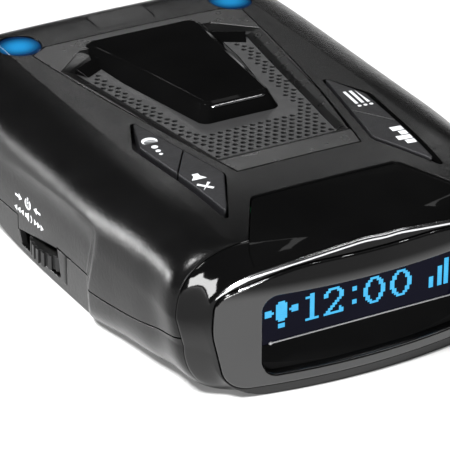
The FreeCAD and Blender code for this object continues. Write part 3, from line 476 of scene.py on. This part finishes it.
def add_key_marks(print_white):
    """One mark on each key, turned to follow the key's bay."""
    for key, outlines, x, y in KEY_MARKS:
        side = 1.0 if x > 0 else -1.0
        across = Vector((side * KEY_MARK_SLANT, side, 0)).normalized()
        up = Vector((-across.y, across.x, 0))
        origin = Vector((x * MM, y * MM, KEY_MARK_HEIGHT))
        mark(key + "_mark", outlines, KEY_MARK_SCALE, key, key, origin, across, up, Vector((0, 0, -1)),
             print_white)


def add_side_marks(print_white):
    """Two marks on the left wall, above the wheel."""
    for name, outlines, z in SIDE_MARKS:
        origin = Vector((*SIDE_MARK_PLACE, z * MM))
        mark(name, outlines, SIDE_MARK_SCALE, "upper_housing", "case", origin, Vector((0, -1, 0)),
             Vector((0, 0, 1)), Vector((1, 0, 0)), print_white)


# ------------------------------------------------------------------ display picture
ONE = ["...##....", ".####...."] + 9 * ["...##...."] + [".######.."]
TWO = ["..#####..", ".##...##.", "##.....##", "##.....##", ".......##", "......##.",
       ".....##..", "....##...", "...##....", "..##...#.", ".##....##", "#########"]
COLON = 2 * ["..."] + 2 * ["##."] + 4 * ["..."] + 2 * ["##."] + 2 * ["..."]
ZERO_TOP = ["...####...", "..##..##..", ".##....##.", ".##....##."]
ZERO = ZERO_TOP + 4 * ["##......##"] + ZERO_TOP[::-1]
MAST = ["......###......", ".....#####.....", ".....#####.....", "###..#####..###",
        "####.#####.####", "###..#####..###", ".....#####.....", ".....#####.....",
        "......###......", "...............", "......###......", "......###......"]
LEVEL = 3 * [".......##"] + 4 * ["....##.##"] + 5 * ["##..##.##"]

# Sign and its middle across the part, in mm
PICTURE = [(MAST, -15.4), (ONE, -9.1), (TWO, -5.0), (COLON, -0.6), (ZERO, 3.2), (ZERO, 8.6), (LEVEL, 16.4)]
DOT = 0.44                       # mm between display dots
BASELINE = 10.25                 # mm, height of the signs' feet
PICTURE_BACK = 0.01              # mm in front of the glass
PICTURE_FRONT = 0.06


def add_picture(lit):
    """Dot-matrix clock between a mast sign and a level sign, just in front of the glass."""
    outlines = []
    for rows, centre in PICTURE:
        left = centre - len(rows[0]) * DOT / 2
        for index, row in enumerate(rows):
            z = BASELINE + (len(rows) - 1 - index) * DOT
            start = None
            for column, cell in enumerate(row + "."):
                if cell == "#" and start is None:
                    start = column
                if cell != "#" and start is not None:
                    outlines.append(block(left + start * DOT, z, left + column * DOT, z + DOT))
                    start = None
    front = GLASS_LOW.y
    plate("display_picture", outlines, lambda x, z: Vector((x * MM, front - PICTURE_BACK * MM, z * MM)),
          lambda x, z: Vector((x * MM, front - PICTURE_FRONT * MM, z * MM)), lit, "case")


# ------------------------------------------------------------------ beads, bright as painted highlights
TUBE_SIDES = 12
TRIM_START = -17.6               # mm across the part
TRIM_STOP = 20.8
EDGE_FIRST = 0.02                # mm behind a node's front, where the search for its edge starts
EDGE_STEP = 0.1
EDGE_STEPS = 90
RAY_TOP = 0.05                   # metres, above everything
BEAD_SPOTS = 61                  # places along a bead, an odd number with one in the middle
EVENING_ROUNDS = 4
TAPER = 0.25                     # share of the full radius gained at each spot from an end

# Bead, its node, where that node's front is, and in mm: the height its top edge lies above, half the bead's
# length, its radius, and how far it lies behind and below the edge
BEADS = [
    ("cap_bead", "front_bezel", FASCIA_LOW.y, 19.0, 30.0, 0.5, 0.2, 0.12),
    ("fascia_bead", "display_fascia", FASCIA_LOW.y, 19.0, 27.6, 0.3, 0.32, 0.05),
    ("wedge_bead", "rear_laser_lens", WEDGE_LOW.y, 30.75, 5.6, 0.28, -0.1, 0.22),
]


def tube(name, points, radii, material):
    """Round bead through points in mm, with a radius in mm at each."""
    built = bmesh.new()
    rings = []
    for i, (point, radius) in enumerate(zip(points, radii)):
        along = (points[min(i + 1, len(points) - 1)] - points[max(i - 1, 0)]).normalized()
        side = along.cross(Vector((0, 0, 1))).normalized()
        rise = side.cross(along)
        rings.append([built.verts.new((point + (side * math.cos(t) + rise * math.sin(t)) * radius) * MM)
                      for t in [2 * math.pi * k / TUBE_SIDES for k in range(TUBE_SIDES)]])
    for one, two in zip(rings, rings[1:]):
        for k in range(TUBE_SIDES):
            j = (k + 1) % TUBE_SIDES
            built.faces.new([one[k], one[j], two[j], two[k]])
    built.faces.new(list(reversed(rings[0])))
    built.faces.new(rings[-1])
    bmesh.ops.recalc_face_normals(built, faces=built.faces)
    for face in built.faces:
        face.smooth = True
    piece = piece_from(built, name, material)
    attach(piece, "case")


def add_glass_edge_highlight(trim):
    """Slim bead where the glass meets the shelf, with a round end on the left; its light grey is a painted
    highlight of that edge.
    """
    y, z = GLASS_LOW.y / MM - 0.1, GLASS_LOW.z / MM + 1.0
    stations = [(TRIM_START - 0.34, 0.06), (TRIM_START - 0.28, 0.2), (TRIM_START, 0.34),
                (TRIM_START + 0.28, 0.24), (TRIM_START + 0.5, 0.16),
                (TRIM_STOP, 0.16), (TRIM_STOP + 0.1, 0.05)]
    tube("glass_edge_highlight", [Vector((x, y, z)) for x, radius in stations], [radius for x, radius in stations],
         trim)


def front_edge(tree, x, front, least):
    """Foremost point of a node at x that is higher than least, in mm."""
    for step in range(EDGE_STEPS):
        y = front + (EDGE_FIRST + EDGE_STEP * step) * MM
        hit = tree.ray_cast(Vector((x * MM, y, RAY_TOP)), Vector((0, 0, -1)))[0]
        if hit is not None and hit.z > least * MM:
            return hit / MM
    return None


def smoothed(spots):
    """Evens out the sampled points of an edge, ends kept."""
    for _ in range(EVENING_ROUNDS):
        middle = [(a + b * 2 + c) / 4 for a, b, c in zip(spots, spots[1:], spots[2:])]
        spots = [spots[0]] + middle + [spots[-1]]
    return spots


def add_highlight_beads(highlight_paint):
    """Rounded beads, thin at both ends, on the top front edges of the cap, the fascia and the wedge; their
    bright metal is a painted highlight along these black edges.
    """
    for name, target, front, least, half, radius, back, down in BEADS:
        tree = surface_of(target)
        places = [-half + i * half / (BEAD_SPOTS // 2) for i in range(BEAD_SPOTS)]
        spots = [front_edge(tree, x, front, least) for x in places]
        spots = smoothed([spot + Vector((0, back, -down)) for spot in spots if spot is not None])
        last = len(spots) - 1
        radii = [radius * min(1.0, TAPER + TAPER * min(i, last - i)) for i in range(len(spots))]
        tube(name, spots, radii, highlight_paint)


# ------------------------------------------------------------------ latch spring
def add_spring():
    """Own copy of the coil under the latch button, fixed to the case in place of the CAD spring."""
    coil = bpy.data.objects.new("release_spring_coil", NODES["release_spring"].data.copy())
    show(coil)
    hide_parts("release_spring")
    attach(coil, "case")
    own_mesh(coil)


# ------------------------------------------------------------------ camera, floor and light
CAMERA_AZIMUTH = math.radians(27.55)
CAMERA_ELEVATION = math.radians(28.9)
CAMERA_DISTANCE = 0.5405         # metres from the aim
CAMERA_RIGHT = -0.0133           # metres beside the aim
CAMERA_UP = -0.0123              # metres above the aim
AIM_HEIGHT = 0.030               # metres above the table
LENS = 242.1                     # mm, on a sensor of the width below
SENSOR_WIDTH = 36.0
FLOOR_REACH = 3.0
LIGHT_TARGET = Vector((0.0, 0.0, 0.02))

# Name, azimuth and elevation in degrees, distance, (width, height) in metres, power in watts
LIGHTS = [
    ("left_key", -98, 60, 1.8, (0.4, 0.4), 56.0),
    ("ridge_strip", 105, 66, 1.5, (0.35, 0.8), 2.2),
    ("corner_softbox", -160, 7, 0.9, (0.28, 0.2), 9.5),
    ("left_softbox", -47, 3, 0.9, (0.2, 0.09), 4.0),
    ("back_card", 21, 25.5, 1.4, (0.4, 0.07), 0.6),
    ("right_card", 37, 30, 1.4, (0.18, 0.14), 0.4),
]
WORLD_COLOUR = (0.9, 0.9, 0.9, 1.0)
WORLD_STRENGTH = 0.02


def add_camera():
    """Camera at the photo's angle; its aim is beside the middle of the V panel's front seam."""
    a, e = CAMERA_AZIMUTH, CAMERA_ELEVATION
    back = Vector((-math.sin(a) * math.cos(e), -math.cos(a) * math.cos(e), math.sin(e)))
    right = Vector((math.cos(a), -math.sin(a), 0.0))
    up = back.cross(right)
    seam = Vector((0.0, PANEL_LOW.y, AIM_HEIGHT))
    place = Matrix((right, up, back)).transposed().to_4x4()
    place.translation = seam + back * CAMERA_DISTANCE + right * CAMERA_RIGHT + up * CAMERA_UP
    data = bpy.data.cameras.new("camera")
    data.lens = LENS
    data.sensor_width = SENSOR_WIDTH
    data.clip_start = 0.01
    camera = bpy.data.objects.new("camera", data)
    camera.matrix_world = place
    show(camera)
    bpy.context.scene.camera = camera


def add_floor():
    """Pale table top under the part."""
    mesh = bpy.data.meshes.new("floor")
    corners = [(x, y, 0) for x, y in block(-FLOOR_REACH, -FLOOR_REACH, FLOOR_REACH, FLOOR_REACH)]
    mesh.from_pydata(corners, [], [(0, 1, 2, 3)])
    floor = bpy.data.objects.new("floor", mesh)
    show(floor)
    mesh.materials.append(moulded("pale_floor", (0.74, 0.74, 0.74), (0.76, 0.76, 0.76), (0.85, 0.95),
                                  grain=400.0, depth_mm=0.02))


def toward(azimuth, elevation):
    """Direction from the object; azimuth is measured from the back, positive to the right."""
    a, e = math.radians(azimuth), math.radians(elevation)
    return Vector((math.sin(a) * math.cos(e), math.cos(a) * math.cos(e), math.sin(e)))


def add_light(name, azimuth, elevation, distance, size, power):
    """Rectangular softbox that faces the part."""
    data = bpy.data.lights.new(name, "AREA")
    data.shape = "RECTANGLE"
    data.size, data.size_y = size
    data.energy = power
    light = bpy.data.objects.new(name, data)
    away = toward(azimuth, elevation).normalized()
    light.location = LIGHT_TARGET + away * distance
    light.rotation_euler = away.to_track_quat("Z", "Y").to_euler()
    show(light)


def add_lights():
    """Softboxes, and a dim even world."""
    for light in LIGHTS:
        add_light(*light)
    world = bpy.data.worlds.new("studio")
    world.use_nodes = True
    world.node_tree.nodes["Background"].inputs["Color"].default_value = WORLD_COLOUR
    world.node_tree.nodes["Background"].inputs["Strength"].default_value = WORLD_STRENGTH
    bpy.context.scene.world = world
    bpy.context.scene.view_settings.view_transform = "Standard"


# ------------------------------------------------------------------ build
dress(make_materials())
print_white = moulded("print_white", (0.75, 0.77, 0.8), (0.82, 0.84, 0.86), (0.4, 0.5), grain=1200.0,
                      depth_mm=0.004)
add_key_marks(print_white)
add_side_marks(print_white)
add_picture(glowing("display_cyan", (0.03, 0.47, 0.88), (0.045, 0.55, 0.96), strength=1.0))
# the trim's light grey is a painted highlight of the glass's bottom edge
add_glass_edge_highlight(moulded("trim_painted_highlight", grey(0.28), grey(0.34), (0.2, 0.3), grain=900.0, depth_mm=0.004))
# the beads' bright metal is a painted highlight on black edges
add_highlight_beads(moulded("bead_painted_highlight", grey(0.78), grey(0.86), (0.16, 0.2), grain=900.0, depth_mm=0.001,
                        Metallic=1.0))
add_spring()
add_camera()
add_floor()
add_lights()
